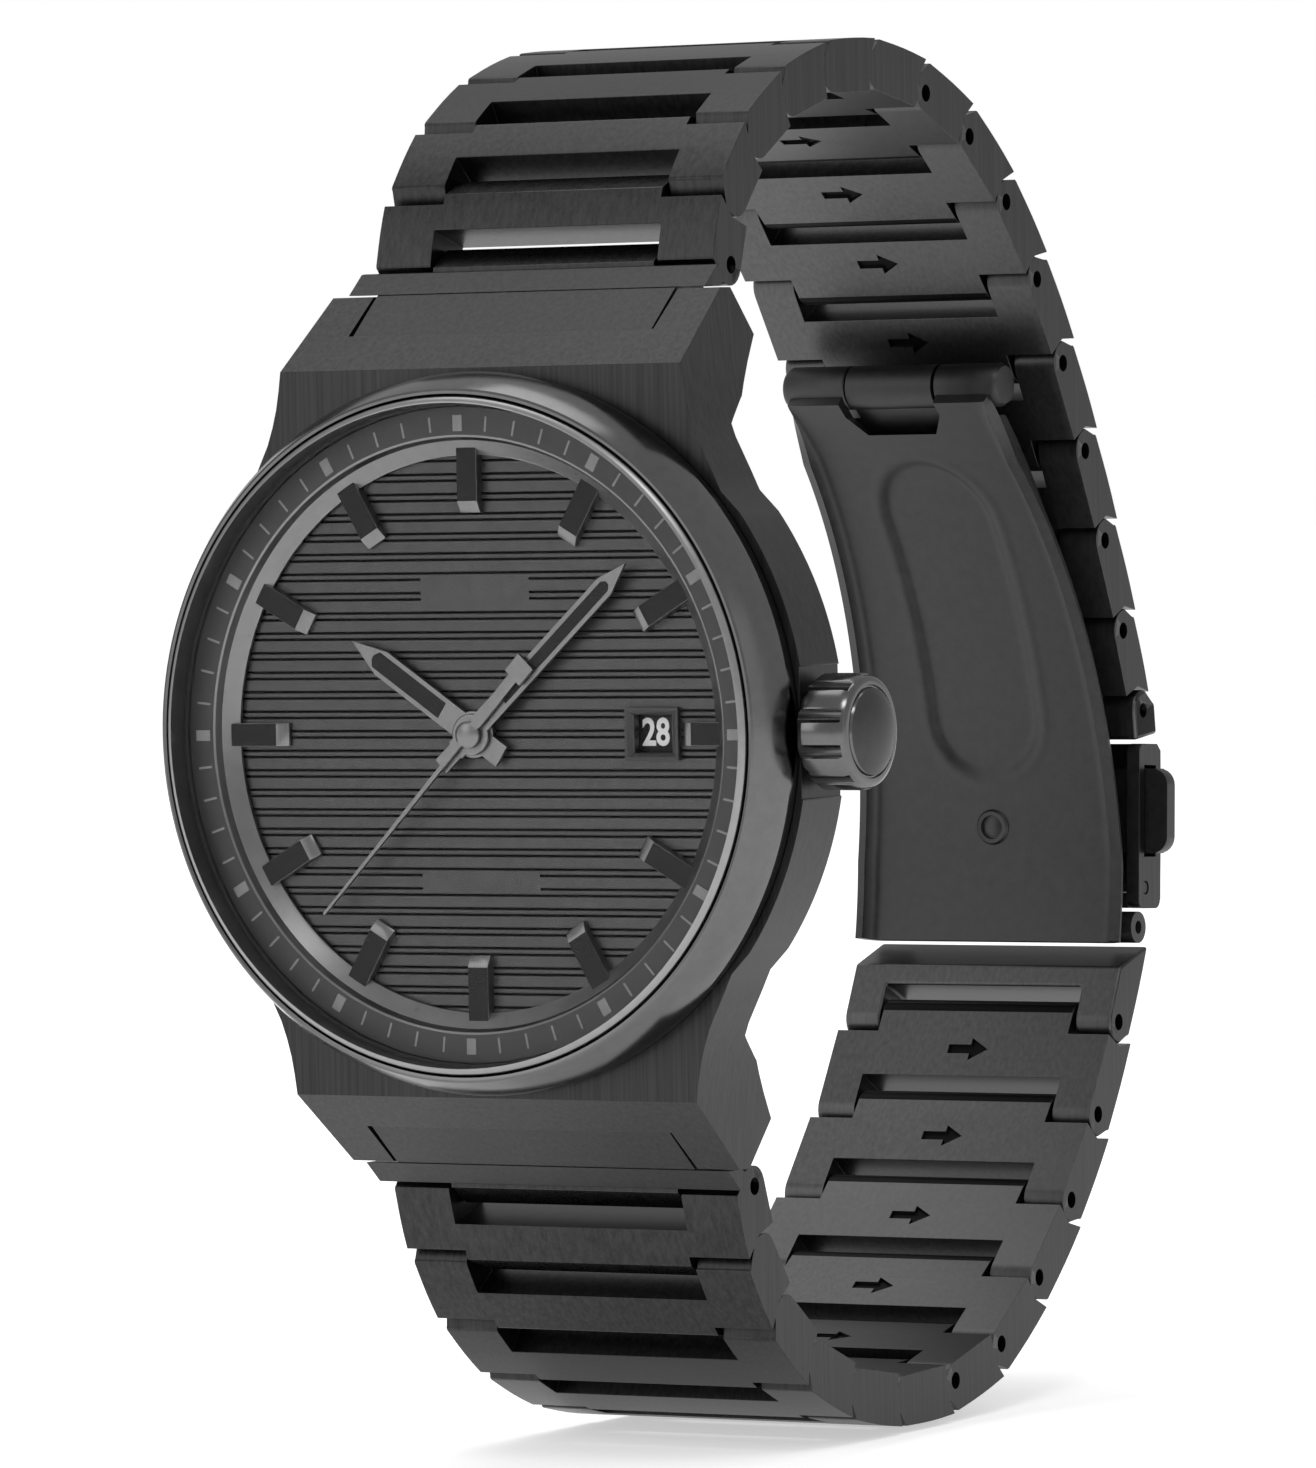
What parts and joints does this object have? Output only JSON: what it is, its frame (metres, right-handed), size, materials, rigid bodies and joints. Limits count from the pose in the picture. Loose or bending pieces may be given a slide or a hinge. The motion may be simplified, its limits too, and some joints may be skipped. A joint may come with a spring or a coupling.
{
  "type": "wristwatch",
  "caption": "Analogue wristwatch with a round dial, crown, angular lugs and a metal bracelet of hinged links closed by a folding clasp.",
  "frame": {"origin": "centre of the case back's flat outer face, which rests on the wrist", "axes": "+X toward the crown at 3 o'clock, +Y from the case back toward the wrist and the clasp (the dial looks along -Y), +Z toward 12 o'clock"},
  "size_m": [0.0444, 0.0666, 0.0794],
  "materials": {
    "black_steel": "black-plated, fine brushed",
    "polished_black": "black-plated, polished",
    "bright_steel": "bare, finely turned",
    "movement_brass": "satin",
    "dial_black": "matt black lacquer over brass",
    "ring_grey": "grey satin",
    "sapphire": "clear",
    "seal_rubber": "matt",
    "date_white": "printed"
  },
  "bodies": {
    "case": {"case_middle": "black_steel", "bezel": "polished_black", "crystal": "sapphire", "crystal_gasket": "seal_rubber", "chapter_ring": "ring_grey", "dial": "dial_black", "date_frame": "ring_grey", "movement_ring": "bright_steel", "main_plate": "movement_brass", "rotor_bridge": "bright_steel", "barrel": "movement_brass", "case_back": "black_steel", "case_back_gasket": "seal_rubber", "crown_tube": "bright_steel", "end_link_12": "black_steel", "end_link_6": "black_steel"},
    "rotor": {"rotor": "bright_steel"},
    "balance": {"balance_wheel": "bright_steel"},
    "date_disc": {"date_disc": "date_white"},
    "hour_hand": {"hour_hand": "ring_grey"},
    "minute_hand": {"minute_hand": "ring_grey"},
    "second_hand": {"second_hand": "ring_grey"},
    "crown_slide": {"setting_lever": "bright_steel"},
    "crown": {"crown": "polished_black", "winding_stem": "bright_steel"},
    "link_12_01": {"link_12_01": "black_steel"},
    "link_12_02": {"link_12_02": "black_steel"},
    "link_12_03": {"link_12_03": "black_steel"},
    "link_12_04": {"link_12_04": "black_steel"},
    "link_12_05": {"link_12_05": "black_steel"},
    "link_12_06": {"link_12_06": "black_steel"},
    "link_12_07": {"link_12_07": "black_steel"},
    "link_12_08": {"link_12_08": "black_steel"},
    "link_12_09": {"link_12_09": "black_steel"},
    "link_12_10": {"link_12_10": "black_steel"},
    "link_12_11": {"link_12_11": "black_steel"},
    "link_12_12": {"link_12_12": "black_steel"},
    "link_12_13": {"link_12_13": "black_steel"},
    "link_12_14": {"link_12_14": "black_steel"},
    "link_6_01": {"link_6_01": "black_steel"},
    "link_6_02": {"link_6_02": "black_steel"},
    "link_6_03": {"link_6_03": "black_steel"},
    "link_6_04": {"link_6_04": "black_steel"},
    "link_6_05": {"link_6_05": "black_steel"},
    "link_6_06": {"link_6_06": "black_steel"},
    "link_6_07": {"link_6_07": "black_steel"},
    "link_6_08": {"link_6_08": "black_steel"},
    "link_6_09": {"link_6_09": "black_steel"},
    "link_6_10": {"link_6_10": "black_steel"},
    "link_6_11": {"link_6_11": "black_steel"},
    "link_6_12": {"link_6_12": "black_steel"},
    "connector": {"connector_link": "black_steel"},
    "clasp_cover": {"clasp_cover": "black_steel", "button_spring": "bright_steel"},
    "button_right": {"push_button_right": "black_steel"},
    "button_left": {"push_button_left": "black_steel"},
    "middle_blade": {"middle_blade": "black_steel"},
    "inner_blade": {"inner_blade": "black_steel"}
  },
  "joints": [
    {"name": "pin_12_01", "type": "hinge", "parent": "case", "child": "link_12_01", "pos_m": [0, 0.0038, 0.0256], "axis": [1, 0, 0], "range_deg": [0, 10]},
    {"name": "pin_12_02", "type": "hinge", "parent": "link_12_01", "child": "link_12_02", "pos_m": [0, 0.00504, 0.0294], "axis": [1, 0, 0], "range_deg": [0, 24]},
    {"name": "pin_12_03", "type": "hinge", "parent": "link_12_02", "child": "link_12_03", "pos_m": [0, 0.00798, 0.03267], "axis": [1, 0, 0], "range_deg": [0, 18]},
    {"name": "pin_12_04", "type": "hinge", "parent": "link_12_03", "child": "link_12_04", "pos_m": [0, 0.01214, 0.03507], "axis": [1, 0, 0], "range_deg": [0, 14]},
    {"name": "pin_12_05", "type": "hinge", "parent": "link_12_04", "child": "link_12_05", "pos_m": [0, 0.01714, 0.03651], "axis": [1, 0, 0], "range_deg": [0, 14]},
    {"name": "pin_12_06", "type": "hinge", "parent": "link_12_05", "child": "link_12_06", "pos_m": [0, 0.02273, 0.0367], "axis": [1, 0, 0], "range_deg": [0, 13]},
    {"name": "pin_12_07", "type": "hinge", "parent": "link_12_06", "child": "link_12_07", "pos_m": [0, 0.02862, 0.03556], "axis": [1, 0, 0], "range_deg": [0, 13]},
    {"name": "pin_12_08", "type": "hinge", "parent": "link_12_07", "child": "link_12_08", "pos_m": [0, 0.0341, 0.03312], "axis": [1, 0, 0], "range_deg": [0, 15]},
    {"name": "pin_12_09", "type": "hinge", "parent": "link_12_08", "child": "link_12_09", "pos_m": [0, 0.03877, 0.02934], "axis": [1, 0, 0], "range_deg": [0, 10]},
    {"name": "pin_12_10", "type": "hinge", "parent": "link_12_09", "child": "link_12_10", "pos_m": [0, 0.0427, 0.02481], "axis": [1, 0, 0], "range_deg": [0, 7]},
    {"name": "pin_12_11", "type": "hinge", "parent": "link_12_10", "child": "link_12_11", "pos_m": [0, 0.04606, 0.01984], "axis": [1, 0, 0], "range_deg": [0, 5]},
    {"name": "pin_12_12", "type": "hinge", "parent": "link_12_11", "child": "link_12_12", "pos_m": [0, 0.04897, 0.01459], "axis": [1, 0, 0], "range_deg": [0, 3]},
    {"name": "pin_12_13", "type": "hinge", "parent": "link_12_12", "child": "link_12_13", "pos_m": [0, 0.0516, 0.0092], "axis": [1, 0, 0], "range_deg": [0, 2]},
    {"name": "pin_12_14", "type": "hinge", "parent": "link_12_13", "child": "link_12_14", "pos_m": [0, 0.05404, 0.00372], "axis": [1, 0, 0], "range_deg": [0, 4]},
    {"name": "connector_pin", "type": "hinge", "parent": "link_12_14", "child": "connector", "pos_m": [0, 0.05582, -0.00117], "axis": [1, 0, 0], "range_deg": [0, 14]},
    {"name": "cover_pin", "type": "hinge", "parent": "connector", "child": "clasp_cover", "pos_m": [0, 0.05599, -0.00281], "axis": [1, 0, 0], "range_deg": [0, 9]},
    {"name": "clasp_fold", "type": "hinge", "parent": "clasp_cover", "child": "middle_blade", "pos_m": [0, 0.05516, -0.01183], "axis": [1, 0, 0], "range_deg": [0, 30]},
    {"name": "blade_fold", "type": "hinge", "parent": "middle_blade", "child": "inner_blade", "pos_m": [0, 0.04226, 0.0186], "axis": [1, 0, 0], "range_deg": [-60, 0]},
    {"name": "press_right", "type": "slide", "parent": "clasp_cover", "child": "button_right", "axis": [-1, 0, 0], "range_m": [0, 0.0008], "stiffness_N_per_m": 300},
    {"name": "press_left", "type": "slide", "parent": "clasp_cover", "child": "button_left", "axis": [1, 0, 0], "range_m": [0, 0.0008], "stiffness_N_per_m": 300},
    {"name": "pin_6_01", "type": "hinge", "parent": "case", "child": "link_6_01", "pos_m": [0, 0.0038, -0.0256], "axis": [-1, 0, 0], "range_deg": [0, 11.5]},
    {"name": "pin_6_02", "type": "hinge", "parent": "link_6_01", "child": "link_6_02", "pos_m": [0, 0.00517, -0.02947], "axis": [-1, 0, 0], "range_deg": [0, 16.01]},
    {"name": "pin_6_03", "type": "hinge", "parent": "link_6_02", "child": "link_6_03", "pos_m": [0, 0.00779, -0.03314], "axis": [-1, 0, 0], "range_deg": [0, 17.01]},
    {"name": "pin_6_04", "type": "hinge", "parent": "link_6_03", "child": "link_6_04", "pos_m": [0, 0.01171, -0.03615], "axis": [-1, 0, 0], "range_deg": [0, 15.01]},
    {"name": "pin_6_05", "type": "hinge", "parent": "link_6_04", "child": "link_6_05", "pos_m": [0, 0.01667, -0.0382], "axis": [-1, 0, 0], "range_deg": [0, 13.01]},
    {"name": "pin_6_06", "type": "hinge", "parent": "link_6_05", "child": "link_6_06", "pos_m": [0, 0.02237, -0.03915], "axis": [-1, 0, 0], "range_deg": [0, 11.01]},
    {"name": "pin_6_07", "type": "hinge", "parent": "link_6_06", "child": "link_6_07", "pos_m": [0, 0.02857, -0.03898], "axis": [-1, 0, 0], "range_deg": [0, 13.01]},
    {"name": "pin_6_08", "type": "hinge", "parent": "link_6_07", "child": "link_6_08", "pos_m": [0, 0.03457, -0.03742], "axis": [-1, 0, 0], "range_deg": [0, 19.01]},
    {"name": "pin_6_09", "type": "hinge", "parent": "link_6_08", "child": "link_6_09", "pos_m": [0, 0.03973, -0.034], "axis": [-1, 0, 0], "range_deg": [0, 9.01]},
    {"name": "pin_6_10", "type": "hinge", "parent": "link_6_09", "child": "link_6_10", "pos_m": [0, 0.0443, -0.0298], "axis": [-1, 0, 0], "range_deg": [0, 8.01]},
    {"name": "pin_6_11", "type": "hinge", "parent": "link_6_10", "child": "link_6_11", "pos_m": [0, 0.04824, -0.02501], "axis": [-1, 0, 0], "range_deg": [0, 8.01]},
    {"name": "pin_6_12", "type": "hinge", "parent": "link_6_11", "child": "link_6_12", "pos_m": [0, 0.05147, -0.01972], "axis": [-1, 0, 0], "range_deg": [0, 5]},
    {"name": "crown_pull", "type": "slide", "parent": "case", "child": "crown_slide", "axis": [1, 0, 0], "range_m": [0, 0.0012]},
    {"name": "crown_turn", "type": "hinge", "parent": "crown_slide", "child": "crown", "pos_m": [0.02035, -0.0035, 0], "axis": [1, 0, 0], "continuous": true},
    {"name": "minute_turn", "type": "hinge", "parent": "case", "child": "minute_hand", "pos_m": [0, 0, 0], "axis": [0, 1, 0], "continuous": true},
    {"name": "hour_turn", "type": "hinge", "parent": "case", "child": "hour_hand", "pos_m": [0, 0, 0], "axis": [0, 1, 0], "continuous": true},
    {"name": "second_turn", "type": "hinge", "parent": "case", "child": "second_hand", "pos_m": [0, 0, 0], "axis": [0, 1, 0], "continuous": true},
    {"name": "date_turn", "type": "hinge", "parent": "case", "child": "date_disc", "pos_m": [0, 0, 0], "axis": [0, 1, 0], "continuous": true},
    {"name": "rotor_turn", "type": "hinge", "parent": "case", "child": "rotor", "pos_m": [0, 0, 0], "axis": [0, 1, 0], "continuous": true},
    {"name": "balance_swing", "type": "hinge", "parent": "case", "child": "balance", "pos_m": [0.0055, -0.004, -0.0065], "axis": [0, 1, 0], "range_deg": [-150, 150], "stiffness_Nm_per_rad": 0.000001}
  ],
  "couplings": [
    {"joint": "blade_fold", "follows": "clasp_fold", "ratio": -2},
    {"joint": "hour_turn", "follows": "minute_turn", "ratio": 0.083333}
  ]
}
